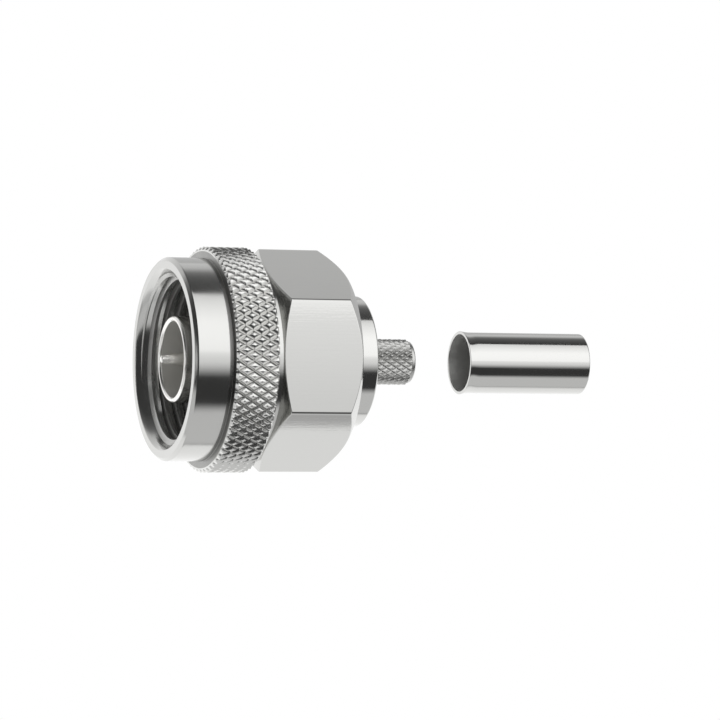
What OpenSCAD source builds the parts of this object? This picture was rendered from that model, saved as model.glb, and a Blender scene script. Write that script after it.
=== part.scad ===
// N type coaxial plug for crimping on thin 50 ohm cable, with its loose crimp ferrule.
// The axis is X. It runs from the mating face, at the origin, to the cable end.

/* [Coupling nut] */
// Distance that the nut stands ahead of the outer contact
nut_lead = 0.8; // [0:0.1:2]
// Outside diameter of the plain front sleeve
sleeve_d = 18.8; // [18:0.1:19.6]
// Length of the plain front sleeve
sleeve_l = 3.5; // [2:0.1:5]
// Bevel round the outside of the front rim
rim_bevel = 0.3; // [0.1:0.05:0.6]
// Diameter where the lead-in of the thread meets the front rim
mouth_d = 17; // [16.2:0.1:17.6]
// Major diameter of the coupling thread (5/8-24 UNEF)
thread_major_d = 15.875; // [15.8:0.005:16]
// Minor diameter of the coupling thread
thread_minor_d = 14.8; // [14.7:0.05:15]
// Turns of the coupling thread to the inch
thread_tpi = 24; // [20:1:28]
// Distance from the outer contact's front face to the end of the thread
thread_end = 6.9; // [5:0.1:7.2]
// Width of the relief groove behind the thread
relief_l = 1.6; // [1:0.1:1.7]
// Outside diameter over the knurl
knurl_d = 20.9; // [20.4:0.1:22]
// Length of the knurled band
knurl_l = 4.15; // [3:0.05:6]
// Distance between the knurl's grooves, square to a groove
knurl_pitch = 0.82; // [0.7:0.02:1.6]
// Angle between the knurl's grooves and the axis
knurl_angle = 30; // [25:1:45]
// Depth of the knurl's grooves
knurl_depth = 0.34; // [0.15:0.01:0.45]
// Slope of the step from the sleeve to the knurl, measured along the axis
knurl_step = 0.15; // [0.05:0.01:0.3]
// Diameter of the neck between the knurl and the hexagon
neck_d = 17.6; // [17:0.1:18.4]
// Width of the neck
neck_l = 0.85; // [0.5:0.05:1.5]
// Width of the hexagon across its flats
hex_af = 18; // [17.8:0.1:20]
// Length of the hexagon
hex_l = 7.75; // [7:0.05:10]
// Angle of the hexagon's front chamfer, from the end face
front_chamfer_angle = 25; // [15:1:45]
// Angle of the hexagon's rear chamfer, from the end face
rear_chamfer_angle = 40; // [15:1:45]
// Diameter where each chamfer of the hexagon starts
chamfer_d = 17.7; // [17.2:0.1:17.8]
// Turn of the nut about the axis, as it is left
nut_turn = -2; // [-30:1:30]
// Thickness of the nut's rear wall, round the body's barrel
rear_wall_t = 1.4; // [1:0.1:2.5]

/* [Body] */
// Diameter of the collar that turns inside the nut
collar_d = 14.4; // [14:0.1:14.6]
// Distance from the outer contact's front face to the collar
collar_x = 9.9; // [9.4:0.1:10.2]
// Length of the collar
collar_l = 3.5; // [3.2:0.1:3.7]
// Diameter of the barrel behind the collar, with the polished shoulder
barrel_d = 12.2; // [11.6:0.1:12.6]
// Distance from the outer contact's front face to the end of the shoulder
shoulder_x = 18.2; // [17.4:0.1:20]
// Bevel at the shoulder's edge
shoulder_bevel = 0.15; // [0.05:0.05:0.5]
// Diameter over the knurl of the crimp stem
stem_d = 4.3; // [4:0.05:4.6]
// Length of the crimp stem
stem_l = 5.3; // [4:0.1:8]
// Distance between the stem knurl's grooves, square to a groove
stem_pitch = 0.52; // [0.4:0.02:0.9]
// Depth of the stem knurl's grooves
stem_depth = 0.16; // [0.08:0.01:0.2]
// Rounding of the stem's free end
stem_round = 0.35; // [0.15:0.05:0.4]
// Bore of the stem, for the cable's insulation
cable_bore_d = 3.1; // [3:0.05:3.2]
// Bore of the air space behind the front insulator
cavity_d = 7; // [6.6:0.1:7.6]

/* [Contacts] */
// Outside diameter of the outer contact
outer_d = 8; // [7.8:0.01:8.1]
// Bore of the outer contact
inner_d = 7; // [6.9:0.01:7.1]
// Bevel at the tip of the outer contact
tip_bevel = 0.12; // [0.05:0.01:0.2]
// Height that the foot stands ahead of the collar
foot_rise = 0.5; // [0.2:0.1:0.7]
// Depth of the foot's seat in the collar
foot_seat = 0.5; // [0.3:0.1:0.6]
// Diameter of the outer contact's tail, pressed in the body
tail_d = 8.8; // [8.6:0.1:9.4]
// Length of the tail behind the foot
tail_l = 0.9; // [0.5:0.1:1]
// Diameter of the centre pin
pin_d = 1.65; // [1.6:0.01:1.68]
// Distance that the pin's tip stands ahead of the outer contact
pin_lead = 1; // [0.6:0.1:1.2]
// Diameter of the pin's blunt tip
pin_tip_d = 0.66; // [0.4:0.02:1]
// Length of the pin's taper
pin_taper_l = 3.2; // [2:0.1:4]
// Distance from the outer contact's front face to the pin's shoulder
pin_shoulder_x = 5.3; // [5.2:0.05:5.6]
// Diameter of the centre contact behind its shoulder
contact_d = 3.04; // [2.9:0.01:3.06]
// Diameter at the snap groove of the centre contact
snap_d = 2.6; // [2.4:0.05:2.7]
// Width of the snap groove
snap_l = 0.8; // [0.5:0.1:1.2]
// Diameter of the centre contact behind the front insulator
contact_tail_d = 2.5; // [2.2:0.1:2.6]
// Bore of the cup for the cable's inner conductor
cup_d = 1; // [0.9:0.05:1.4]
// Depth of the cup
cup_l = 2.4; // [2.3:0.05:2.5]
// Diameter of the cup's inspection hole
peep_d = 0.6; // [0.4:0.05:0.7]

/* [Insulators and gasket] */
// Length of the front insulator
front_ins_l = 3.4; // [2.8:0.1:3.6]
// Diameter of the rear insulator
rear_ins_d = 6; // [5.6:0.1:6.4]
// Length of the rear insulator
rear_ins_l = 1.2; // [0.8:0.1:1.4]
// Distance from the shoulder's end face forward to the rear insulator
rear_ins_back = 1; // [0.7:0.1:1.3]
// Thickness of the gasket
gasket_t = 0.9; // [0.6:0.1:1.1]
// Width of the gasket's ring
gasket_w = 1.7; // [1.4:0.1:1.9]
// Radial gap between the gasket and the outer contact's foot
gasket_gap = 0.2; // [0.1:0.05:0.5]
// Inset of the gasket from the collar's edge
gasket_inset = 0.1; // [0.05:0.05:0.4]

/* [Snap ring] */
// Thickness of the snap ring
ring_t = 0.7; // [0.5:0.05:0.8]
// Depth that the ring sits in the collar, all round
ring_seat = 0.5; // [0.4:0.05:0.7]
// Reach of the ring into the nut, all round
ring_reach = 0.45; // [0.3:0.05:0.55]
// Opening of the ring, as an angle about the axis
ring_gap = 24; // [10:1:40]
// Distance from the collar's front face to the middle of the ring
ring_back = 2; // [1.8:0.1:2.1]
// Side play of the ring in the nut's groove
ring_play = 0.12; // [0.1:0.01:0.2]
// Axial play of the nut, to each side
nut_play = 0.3; // [0.1:0.05:0.35]

/* [Crimp ferrule] */
// Outside diameter of the ferrule's tube
ferrule_d = 5.76; // [5.6:0.02:6.2]
// Wall of the ferrule
ferrule_t = 0.28; // [0.2:0.01:0.4]
// Length of the ferrule
ferrule_l = 12.3; // [8:0.1:16]
// Outside diameter of the ferrule's flared mouth
flare_d = 5.98; // [5.9:0.02:6.6]
// Length of the flare
flare_l = 0.7; // [0.3:0.1:1.5]
// Gap between the shoulder and the ferrule, as it is laid out before crimping
ferrule_apart = 10.45; // [7:0.05:20]

/* [Fits] */
// Radial clearance between the nut and what turns in it
turn_clear = 0.1; // [0.05:0.01:0.2]
// Radial clearance between the snap ring and the bottom of each groove
groove_clear = 0.2; // [0.1:0.05:0.3]
// Radial clearance between a contact and its insulator
ins_clear = 0.01; // [0.005:0.005:0.03]

/* [Hidden] */
facets = 96;
thread_facets = 36;

// Positions along the axis
nut_x = -nut_lead;
knurl_x = nut_x + sleeve_l;
knurl_end = knurl_x + knurl_step + knurl_l;
hex_x = knurl_end + neck_l;
nut_end = hex_x + hex_l;
relief_end = thread_end + relief_l;
collar_end = collar_x + collar_l;
wall_x = nut_end - rear_wall_t;
stem_end = shoulder_x + stem_l;
foot_x = collar_x - foot_rise;
seat_x = collar_x + foot_seat;
tail_end = seat_x + tail_l;
front_ins_end = tail_end + front_ins_l;
rear_ins_end = shoulder_x - rear_ins_back;
rear_ins_x = rear_ins_end - rear_ins_l;
ring_x = collar_x + ring_back;
ferrule_x = shoulder_x + ferrule_apart;

// Radii of the mechanism
hex_r = hex_af / 2 / cos(30);
edge_bevel = 0.15;
// Height of the knurl's grooves above the turned core
core_drop = 0.08;
// Overrun of a cut past the face that it opens
over = 1;
// Depth of the bore below the thread's crests, before the thread is cut
thread_under = 0.2;
thread_pitch = 25.4 / thread_tpi;
relief_r = thread_major_d / 2 + 0.1;
nut_bore_r = collar_d / 2 + turn_clear;
ring_inner_r = collar_d / 2 - ring_seat;
ring_outer_r = nut_bore_r + ring_reach;
body_groove_r = ring_inner_r - groove_clear;
nut_groove_r = ring_outer_r + groove_clear;
gasket_outer_r = collar_d / 2 - gasket_inset;
gasket_inner_r = gasket_outer_r - gasket_w;
foot_r = gasket_inner_r - gasket_gap;

// A solid turned about the X axis, from a profile of [radius, x] points
module turned(profile) {
  rotate([0, 90, 0])
    rotate_extrude($fn = facets)
      polygon(profile);
}

// A plain tube along X
module tube(x, l, outer, inner) {
  turned([[inner, x], [outer, x], [outer, x + l], [inner, x + l]]);
}

// A band of diamond knurl: pyramids between two crossing sets of helical grooves.
// Its inner surface lies inside the piece that carries it.
module diamond_band(x, l, r, depth, pitch, angle, inner, edge) {
  around = 2 * round(PI * 2 * r * cos(angle) / pitch);
  rows = max(2, round(2 * (l - 2 * edge) * sin(angle) / pitch));
  step = (l - 2 * edge) / rows;
  valley = r - depth;
  function spot(i, rad, along) = [along, rad * sin(i * 360 / around), rad * cos(i * 360 / around)];
  loops = [
    [for (i = [0 : around - 1]) spot(i, inner, x)],
    [for (i = [0 : around - 1]) spot(i, valley, x)],
    for (j = [0 : rows])
      [for (i = [0 : around - 1]) spot(i, (i + j) % 2 == 0 ? valley : r, x + edge + j * step)],
    [for (i = [0 : around - 1]) spot(i, valley, x + l)],
    [for (i = [0 : around - 1]) spot(i, inner, x + l)]
  ];
  count = len(loops);
  points = [for (k = loops) for (p = k) p];
  function at(k, i) = (k % count) * around + i % around;
  // Each cell is split along the groove that crosses it
  faces = [
    for (k = [0 : count - 1])
      for (i = [0 : around - 1])
        for (half = [0, 1])
          (i + k) % 2 == 0
            ? (half == 0
                ? [at(k, i), at(k, i + 1), at(k + 1, i + 1)]
                : [at(k, i), at(k + 1, i + 1), at(k + 1, i)])
            : (half == 0
                ? [at(k, i), at(k, i + 1), at(k + 1, i)]
                : [at(k, i + 1), at(k + 1, i + 1), at(k + 1, i)])
  ];
  polyhedron(points, faces);
}

// A right-hand screw along X, to cut an inside thread. It is whole from one pitch past x
// to x + l, and each end is a ramp closed toward the axis.
module screw(x, l, major, minor, pitch) {
  radii = [major, minor, minor, major];
  rows = 4 * ceil(l / pitch);
  // Rows climb one pitch in a turn, and stand a quarter of it apart
  function spot(k, turn) =
    [x + pitch * (k / 4 + turn), radii[k % 4] * cos(360 * turn), radii[k % 4] * sin(360 * turn)];
  points = [
    for (k = [0 : rows]) for (i = [0 : thread_facets - 1]) spot(k, i / thread_facets),
    for (k = [rows + 1 : rows + 4]) spot(k, 0),
    [x, 0, 0], [x + pitch * (rows / 4 + 1), 0, 0]
  ];
  front = len(points) - 2;
  rear = len(points) - 1;
  function at(k, i) =
    i == thread_facets ? at(k + 4, 0)
      : k <= rows ? k * thread_facets + i
      : (rows + 1) * thread_facets + k - rows - 1;
  faces = [
    for (k = [0 : rows - 1]) for (i = [0 : thread_facets - 1]) [at(k, i), at(k + 1, i + 1), at(k, i + 1)],
    for (k = [0 : rows - 1]) for (i = [0 : thread_facets - 1]) [at(k, i), at(k + 1, i), at(k + 1, i + 1)],
    for (i = [0 : thread_facets - 1]) [front, at(0, i), at(0, i + 1)],
    for (k = [0 : 3]) [front, at(k + 1, 0), at(k, 0)],
    for (i = [0 : thread_facets - 1]) [rear, at(rows, i + 1), at(rows, i)],
    for (k = [0 : 3]) [rear, at(rows + k, 0), at(rows + k + 1, 0)]
  ];
  polyhedron(points, faces);
}

// A hexagonal prism along X, with both ends chamfered
module hexagon() {
  start = chamfer_d / 2;
  run = hex_r + over - start;
  front = run * tan(front_chamfer_angle);
  rear = run * tan(rear_chamfer_angle);
  intersection() {
    translate([hex_x, 0, 0])
      rotate([0, 90, 0])
        cylinder(r = hex_r, h = hex_l, $fn = 6);
    turned([
      [0, hex_x], [start, hex_x], [start + run, hex_x + front],
      [start + run, nut_end - rear], [start, nut_end], [0, nut_end]
    ]);
  }
}

module coupling_nut() {
  sleeve_r = sleeve_d / 2;
  knurl_r = knurl_d / 2;
  core_r = knurl_r - knurl_depth - core_drop;
  // The bore that the screw widens to the thread
  bore_r = thread_minor_d / 2 - thread_under;
  screw_x = nut_x - thread_pitch;
  screw_end = thread_end + relief_l / 2;
  groove_l = ring_t + 2 * ring_play;
  color("silver")
    rotate([nut_turn, 0, 0])
      difference() {
        union() {
          // Front sleeve, step, the core under the knurl, and the neck
          turned([
            [0, nut_x], [sleeve_r - rim_bevel, nut_x], [sleeve_r, nut_x + rim_bevel],
            [sleeve_r, knurl_x], [core_r, knurl_x + knurl_step],
            [core_r, knurl_end - edge_bevel], [neck_d / 2, knurl_end - edge_bevel],
            [neck_d / 2, hex_x + over], [0, hex_x + over]
          ]);
          diamond_band(knurl_x + knurl_step, knurl_l, knurl_r, knurl_depth,
                       knurl_pitch, knurl_angle, neck_d / 2 - 0.25, edge_bevel);
          hexagon();
        }
        // Lead-in, thread bore, relief and the bore round the collar
        turned([
          [0, nut_x - over], [mouth_d / 2, nut_x - over], [mouth_d / 2, nut_x],
          [bore_r, nut_x + mouth_d / 2 - bore_r], [bore_r, thread_end],
          [relief_r, thread_end], [relief_r, relief_end], [nut_bore_r, relief_end],
          [nut_bore_r, wall_x], [0, wall_x]
        ]);
        // Coupling thread, from the open mouth to the relief
        intersection() {
          screw(screw_x, screw_end - screw_x, thread_major_d / 2, thread_minor_d / 2, thread_pitch);
          turned([[0, nut_x - over], [relief_r, nut_x - over], [relief_r, screw_end], [0, screw_end]]);
        }
        // Groove for the snap ring
        tube(ring_x - groove_l / 2, groove_l, nut_groove_r, 0);
        // Hole for the body's barrel
        turned([
          [0, wall_x - over], [barrel_d / 2 + turn_clear, wall_x - over],
          [barrel_d / 2 + turn_clear, nut_end + over], [0, nut_end + over]
        ]);
      }
}

module snap_ring() {
  color("gainsboro")
    translate([ring_x - ring_t / 2, 0, 0])
      rotate([0, 90, 0])
        rotate([0, 0, ring_gap / 2])
          rotate_extrude(angle = 360 - ring_gap, $fn = facets)
            translate([ring_inner_r, 0])
              square([ring_outer_r - ring_inner_r, ring_t]);
}

module body() {
  groove_l = ring_t + 2 * nut_play + 2 * ring_play;
  stem_r = stem_d / 2;
  core_r = stem_r - stem_depth - core_drop / 2;
  band_l = stem_l - 0.3 - stem_round;
  color("silver")
    difference() {
      union() {
        // Collar, barrel with its polished shoulder, and the core of the stem
        turned([
          [0, collar_x], [collar_d / 2, collar_x], [collar_d / 2, collar_end],
          [barrel_d / 2, collar_end], [barrel_d / 2, shoulder_x - shoulder_bevel],
          [barrel_d / 2 - shoulder_bevel, shoulder_x], [core_r, shoulder_x],
          [core_r, stem_end - stem_round],
          for (a = [15 : 15 : 90])
            [core_r - stem_round * (1 - cos(a)), stem_end - stem_round * (1 - sin(a))],
          [0, stem_end]
        ]);
        diamond_band(shoulder_x + 0.3, band_l, stem_r, stem_depth,
                     stem_pitch, knurl_angle, core_r - 0.15, 0.1);
      }
      // Groove for the snap ring
      tube(ring_x - groove_l / 2, groove_l, collar_d / 2 + over, body_groove_r);
      // Seats of the outer contact and front insulator, the air space and the cable bore
      turned([
        [0, collar_x - over], [foot_r, collar_x - over], [foot_r, seat_x],
        [tail_d / 2, seat_x], [tail_d / 2, front_ins_end], [cavity_d / 2, front_ins_end],
        [cavity_d / 2, rear_ins_x], [rear_ins_d / 2, rear_ins_x],
        [rear_ins_d / 2, rear_ins_end], [cable_bore_d / 2, rear_ins_end],
        [cable_bore_d / 2, stem_end + over], [0, stem_end + over]
      ]);
    }
}

module outer_contact() {
  color("gainsboro")
    turned([
      [inner_d / 2 + tip_bevel, 0], [outer_d / 2 - tip_bevel, 0], [outer_d / 2, tip_bevel],
      [outer_d / 2, foot_x], [foot_r, foot_x], [foot_r, seat_x],
      [tail_d / 2, seat_x], [tail_d / 2, tail_end], [inner_d / 2, tail_end],
      [inner_d / 2, tip_bevel]
    ]);
}

module centre_contact() {
  tip_x = -pin_lead;
  end_x = rear_ins_end;
  snap_x = tail_end + (front_ins_l - snap_l) / 2;
  color("gainsboro")
    difference() {
      turned([
        [0, tip_x], [pin_tip_d / 2 - 0.08, tip_x], [pin_tip_d / 2, tip_x + 0.08],
        [pin_d / 2, tip_x + pin_taper_l], [pin_d / 2, pin_shoulder_x],
        [contact_d / 2, pin_shoulder_x], [contact_d / 2, snap_x], [snap_d / 2, snap_x],
        [snap_d / 2, snap_x + snap_l], [contact_d / 2, snap_x + snap_l],
        [contact_d / 2, front_ins_end], [contact_tail_d / 2, front_ins_end],
        [contact_tail_d / 2, end_x], [0, end_x]
      ]);
      // Cup for the inner conductor
      translate([end_x - cup_l, 0, 0])
        rotate([0, 90, 0])
          cylinder(d = cup_d, h = cup_l + over, $fn = facets);
      // Inspection hole, near the bottom of the cup
      translate([end_x - cup_l + peep_d, 0, 0])
        cylinder(d = peep_d, h = contact_d, $fn = 32);
    }
}

module front_insulator() {
  bore_r = contact_d / 2 + ins_clear;
  snap_x = tail_end + (front_ins_l - snap_l) / 2;
  color("ivory")
    turned([
      [bore_r, tail_end], [tail_d / 2, tail_end], [tail_d / 2, front_ins_end],
      [bore_r, front_ins_end], [bore_r, snap_x + snap_l - ins_clear],
      [snap_d / 2 + ins_clear, snap_x + snap_l - ins_clear],
      [snap_d / 2 + ins_clear, snap_x + ins_clear], [bore_r, snap_x + ins_clear]
    ]);
}

module rear_insulator() {
  color("ivory")
    tube(rear_ins_x, rear_ins_l, rear_ins_d / 2, contact_tail_d / 2 + ins_clear);
}

module gasket() {
  color("dimgray")
    tube(collar_x - gasket_t, gasket_t, gasket_outer_r, gasket_inner_r);
}

module crimp_ferrule() {
  r = ferrule_d / 2;
  flare = (flare_d - ferrule_d) / 2;
  round_r = ferrule_t / 2;
  color("silver")
    turned([
      [r + flare - ferrule_t, ferrule_x], [r + flare - 0.05, ferrule_x],
      [r + flare, ferrule_x + 0.05], [r, ferrule_x + flare_l],
      [r, ferrule_x + ferrule_l - round_r], [r - round_r / 3, ferrule_x + ferrule_l - round_r / 3],
      [r - round_r, ferrule_x + ferrule_l], [r - ferrule_t, ferrule_x + ferrule_l],
      [r - ferrule_t, ferrule_x + flare_l]
    ]);
}

coupling_nut();
snap_ring();
body();
outer_contact();
centre_contact();
front_insulator();
rear_insulator();
gasket();
crimp_ferrule();
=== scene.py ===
import math
import bmesh
import bpy
from mathutils import Matrix, Vector


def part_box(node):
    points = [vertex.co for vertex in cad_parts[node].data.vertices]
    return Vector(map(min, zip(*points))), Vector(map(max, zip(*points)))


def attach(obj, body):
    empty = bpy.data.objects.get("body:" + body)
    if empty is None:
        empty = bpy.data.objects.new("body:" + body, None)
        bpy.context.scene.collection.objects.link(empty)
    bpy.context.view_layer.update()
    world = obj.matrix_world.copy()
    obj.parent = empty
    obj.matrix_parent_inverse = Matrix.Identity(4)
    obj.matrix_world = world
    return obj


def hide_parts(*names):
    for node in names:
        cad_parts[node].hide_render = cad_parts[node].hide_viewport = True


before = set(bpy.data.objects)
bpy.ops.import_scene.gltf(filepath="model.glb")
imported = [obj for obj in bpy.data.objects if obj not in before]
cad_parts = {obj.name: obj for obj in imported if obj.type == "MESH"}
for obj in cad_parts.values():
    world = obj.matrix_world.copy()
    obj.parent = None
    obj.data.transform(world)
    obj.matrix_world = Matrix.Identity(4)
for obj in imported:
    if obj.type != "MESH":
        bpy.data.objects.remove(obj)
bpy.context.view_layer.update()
scene = bpy.context.scene
mm = 0.001                    # in metres


def linearColour(hexText):
    # sRGB hex to linear, with alpha
    values = [int(hexText[i:i + 2], 16) / 255 for i in (1, 3, 5)]
    return [v / 12.92 if v <= 0.04045 else ((v + 0.055) / 1.055) ** 2.4 for v in values] + [1]


def addNode(tree, kind, inputs=None, **settings):
    # adds one node; inputs holds values or the sockets to link from
    node = tree.nodes.new(kind)
    for name, value in settings.items():
        setattr(node, name, value)
    for name, value in (inputs or {}).items():
        if isinstance(value, bpy.types.NodeSocket):
            tree.links.new(value, node.inputs[name])
        else:
            node.inputs[name].default_value = value
    return node


def newObject(name, mesh):
    obj = bpy.data.objects.new(name, mesh)
    scene.collection.objects.link(obj)
    return obj


cameraView = {
    "azimuth": -20.96,      # degrees round the object, 0 looks along +Y
    "elevation": -0.47,
    "roll": 0.53,
    "distance": 401.2,      # mm from the point looked at
    "lens": 214.2,          # mm
    "sensor": 36,           # mm
    "lookAt": (18.62, 0, 0.15),   # mm
}


def makeCamera(v):
    a, e, roll = (math.radians(v[k]) for k in ("azimuth", "elevation", "roll"))
    back = Vector((math.sin(a) * math.cos(e), -math.cos(a) * math.cos(e), math.sin(e)))
    right = Vector((math.cos(a), math.sin(a), 0))
    up = back.cross(right)
    side = right * math.cos(roll) + up * math.sin(roll)
    upright = up * math.cos(roll) - right * math.sin(roll)
    data = bpy.data.cameras.new("camera")
    data.lens = v["lens"]
    data.sensor_width = v["sensor"]
    data.clip_start = 0.01                # m
    data.clip_end = 20
    camera = newObject("camera", data)
    place = (Vector(v["lookAt"]) + back * v["distance"]) * mm
    turn = Matrix((side, upright, back)).transposed().to_4x4()
    camera.matrix_world = Matrix.Translation(place) @ turn
    scene.camera = camera


makeCamera(cameraView)
print("camera set")


def newMaterial(name):
    # an empty principled material: itself, its tree, its shader and the place that patterns follow
    material = bpy.data.materials.new(name)
    material.use_nodes = True
    tree = material.node_tree
    tree.nodes.clear()
    shader = addNode(tree, "ShaderNodeBsdfPrincipled")
    addNode(tree, "ShaderNodeOutputMaterial", {"Surface": shader.outputs[0]})
    place = addNode(tree, "ShaderNodeTexCoord")
    return material, tree, shader, place.outputs["Object"]


finishValues = {
    "ringSpacing": 0.09,      # mm between tool rings, the feed of the lathe
    "ringHeight": 0.004,      # mm
    "ringDrift": 0.03,        # changes of a ring for each mm across it
    "turnedSmudges": 0.16,    # patches of uneven gloss for each mm
    "drawnLines": 9,          # drawing lines for each mm; real ones are finer, and wouldn't show
    "drawnDrift": 0.15,       # changes of a line for each mm along it
    "drawnGrain": 4.2,        # grains for each mm, as coarse as they need to be to show
    "drawnHeight": 0.0015,    # mm
    "drawnSmudges": 0.22,     # patches of uneven gloss for each mm
    "ptfeMottle": 0.9,        # cloudy patches for each mm
    "mouldGrain": 5,          # grains of the mould for each mm
    "mouldHeight": 0.01,      # mm
}


def unevenGloss(tree, shader, place, patches, patchiness, roughness, least, most):
    # roughness in soft patches, from its least share of what is asked for to its most
    smudge = addNode(tree, "ShaderNodeTexNoise", {
        "Vector": place, "Scale": patches / mm, "Detail": 3, "Roughness": patchiness})
    gloss = addNode(tree, "ShaderNodeMapRange", {
        "Value": smudge.outputs["Fac"], "From Min": 0.3, "From Max": 0.7,
        "To Min": roughness * least, "To Max": roughness * most})
    tree.links.new(gloss.outputs[0], shader.inputs["Roughness"])


def turnedMetal(name, colour, roughness, metallic=1, ringHeight=finishValues["ringHeight"]):
    # rings left by the tool lie across the axis, so they vary only along X
    v = finishValues
    material, tree, shader, place = newMaterial(name)
    shader.inputs["Base Color"].default_value = linearColour(colour)
    shader.inputs["Metallic"].default_value = metallic
    unevenGloss(tree, shader, place, v["turnedSmudges"], 0.6, roughness, least=0.75, most=1.4)
    drift = v["ringDrift"] / mm
    stretch = addNode(tree, "ShaderNodeMapping", {
        "Vector": place, "Scale": (1 / (v["ringSpacing"] * mm), drift, drift)})
    rings = addNode(tree, "ShaderNodeTexNoise", {"Vector": stretch.outputs[0], "Scale": 1, "Detail": 3})
    bump = addNode(tree, "ShaderNodeBump", {
        "Strength": 1, "Distance": ringHeight * mm, "Height": rings.outputs["Fac"]})
    tree.links.new(bump.outputs[0], shader.inputs["Normal"])
    return material


# Nickel plating over cold-drawn brass hexagon bar: nearly a mirror, with faint drawing lines along the bar
def nickelDrawn(name, colour="#c6c6c4", roughness=0.05):
    v = finishValues
    material, tree, shader, place = newMaterial(name)
    shader.inputs["Base Color"].default_value = linearColour(colour)
    shader.inputs["Metallic"].default_value = 1
    unevenGloss(tree, shader, place, v["drawnSmudges"], 0.5, roughness, least=0.8, most=1.3)
    across = v["drawnLines"] / mm
    stretch = addNode(tree, "ShaderNodeMapping", {
        "Vector": place, "Scale": (v["drawnDrift"] / mm, across, across)})
    lines = addNode(tree, "ShaderNodeTexNoise", {"Vector": stretch.outputs[0], "Scale": 1, "Detail": 2})
    grain = addNode(tree, "ShaderNodeTexNoise", {
        "Vector": place, "Scale": v["drawnGrain"] / mm, "Detail": 3})
    both = addNode(tree, "ShaderNodeMath", {0: lines.outputs["Fac"], 1: grain.outputs["Fac"]},
                   operation="ADD")
    bump = addNode(tree, "ShaderNodeBump", {
        "Strength": 1, "Distance": v["drawnHeight"] * mm, "Height": both.outputs[0]})
    tree.links.new(bump.outputs[0], shader.inputs["Normal"])
    return material


# PTFE, turned from white rod: waxy, matt and slightly see-through at its edges
def ptfeTurned(name, colour="#e4e4e0", cloud="#d6d6d1"):
    material, tree, shader, place = newMaterial(name)
    mottle = addNode(tree, "ShaderNodeTexNoise", {
        "Vector": place, "Scale": finishValues["ptfeMottle"] / mm, "Detail": 2})
    shade = addNode(tree, "ShaderNodeMix", {
        "Factor": mottle.outputs["Fac"], 6: linearColour(colour), 7: linearColour(cloud)}, data_type="RGBA")
    tree.links.new(shade.outputs[2], shader.inputs["Base Color"])
    shader.inputs["Roughness"].default_value = 0.45
    shader.inputs["IOR"].default_value = 1.35
    shader.inputs["Subsurface Weight"].default_value = 0.2
    shader.inputs["Subsurface Radius"].default_value = (1 * mm, 1 * mm, 1 * mm)
    return material


# Moulded silicone rubber: dark, matt, with a faint grain from the mould
def siliconeMoulded(name, colour="#2b2b2c"):
    v = finishValues
    material, tree, shader, place = newMaterial(name)
    shader.inputs["Base Color"].default_value = linearColour(colour)
    shader.inputs["Roughness"].default_value = 0.62
    grain = addNode(tree, "ShaderNodeTexNoise", {
        "Vector": place, "Scale": v["mouldGrain"] / mm, "Detail": 2})
    bump = addNode(tree, "ShaderNodeBump", {
        "Strength": 0.6, "Distance": v["mouldHeight"] * mm, "Height": grain.outputs["Fac"]})
    tree.links.new(bump.outputs[0], shader.inputs["Normal"])
    return material


# Bright nickel plating over lathe-turned brass: a cool silver with fine rings
turned = turnedMetal("nickelOnTurnedBrass", "#c9c9c7", 0.14)
# The same nickel at the foot of the step, painted greyer as the shade in that inside corner, and rougher
nickelPaintedShadeAtStep = turnedMetal("nickelWithPaintedShadeAtStep", "#979795", 0.3)
# Nickel over a knurl cut into brass: the same metal, a little whiter and softer where the tool dragged
knurled = turnedMetal("nickelOnKnurledBrass", "#d8d8d6", 0.2)
# Nickel in the cut thread, painted a softer grey as the shade inside the nut, and partly matt, so that it
# no longer mirrors the dark bore
cutThreadPaintedShade = turnedMetal("nickelInCutThreadPaintedShade", "#b6b6b4", 0.28, metallic=0.88)
# Nickel on the fine crimp knurl, where it builds up unevenly and isn't polished: greyer and duller
crimpKnurl = turnedMetal("nickelOnCrimpKnurl", "#bebebc", 0.27)
# Nickel over drawn and polished brass tube, and over the polished barrel: smoothest, with hardly a ring
polished = turnedMetal("nickelOnBrassTube", "#cdcdcb", 0.1, ringHeight=0.002)
# Nickel inside the tube, painted an even dark grey as the shade in there, and partly matt, with hardly a
# reflection
tubeInsidePaintedShade = turnedMetal("nickelInsideTubePaintedShade", "#a8a8a6", 0.5, metallic=0.6)
# Silver plating over turned brass: whiter and brighter than nickel
silver = turnedMetal("silverOnTurnedBrass", "#f1f0ed", 0.16)
# The same silver inside a reamed bore, dulled by a thin grey film of tarnish
silverBore = turnedMetal("silverInReamedBore", "#c9c8c4", 0.4, metallic=0.7)
# Phosphor bronze spring strip, plated thinly: greyer and warmer than nickel, and rubbed dull
bronze = turnedMetal("platedSpringBronze", "#b9b3a6", 0.24)
drawn = nickelDrawn("nickelOnDrawnBrass")
ptfe = ptfeTurned("ptfeTurnedRod")
silicone = siliconeMoulded("siliconeMouldedRing")
print("materials made")


arcPoints = 4                 # points of a rounded corner, between its two guard points
arcReach = 0.4                # most of an edge that the rounding at one of its ends may take
guardReach = 0.25             # from an arc to its guard point, as a share of the rounding
sharpEdge = 50                # degrees between faces, from which an edge is drawn sharp


def softened(corners):
    # replaces each (x, r, rounding) corner of a closed outline by a small arc between two guard points
    points = []
    count = len(corners)
    for i, (x, r, size) in enumerate(corners):
        here = Vector((x, r))
        if not size:
            points.append(here)
            continue
        before = Vector(corners[i - 1][:2]) - here
        after = Vector(corners[(i + 1) % count][:2]) - here
        reach = min(size, before.length * arcReach, after.length * arcReach)
        start, end = here + before.normalized() * reach, here + after.normalized() * reach
        points.append(start + before.normalized() * reach * guardReach)
        for step in range(arcPoints):
            t = step / (arcPoints - 1)
            points.append(start * (1 - t) ** 2 + here * 2 * t * (1 - t) + end * t ** 2)
        points.append(end + after.normalized() * reach * guardReach)
    return points


def cornerStarts(corners):
    # number of the first point of each corner once it is softened, and of the point past the last
    starts = [0]
    for corner in corners:
        starts.append(starts[-1] + (arcPoints + 2 if corner[2] else 1))
    return starts


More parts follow.
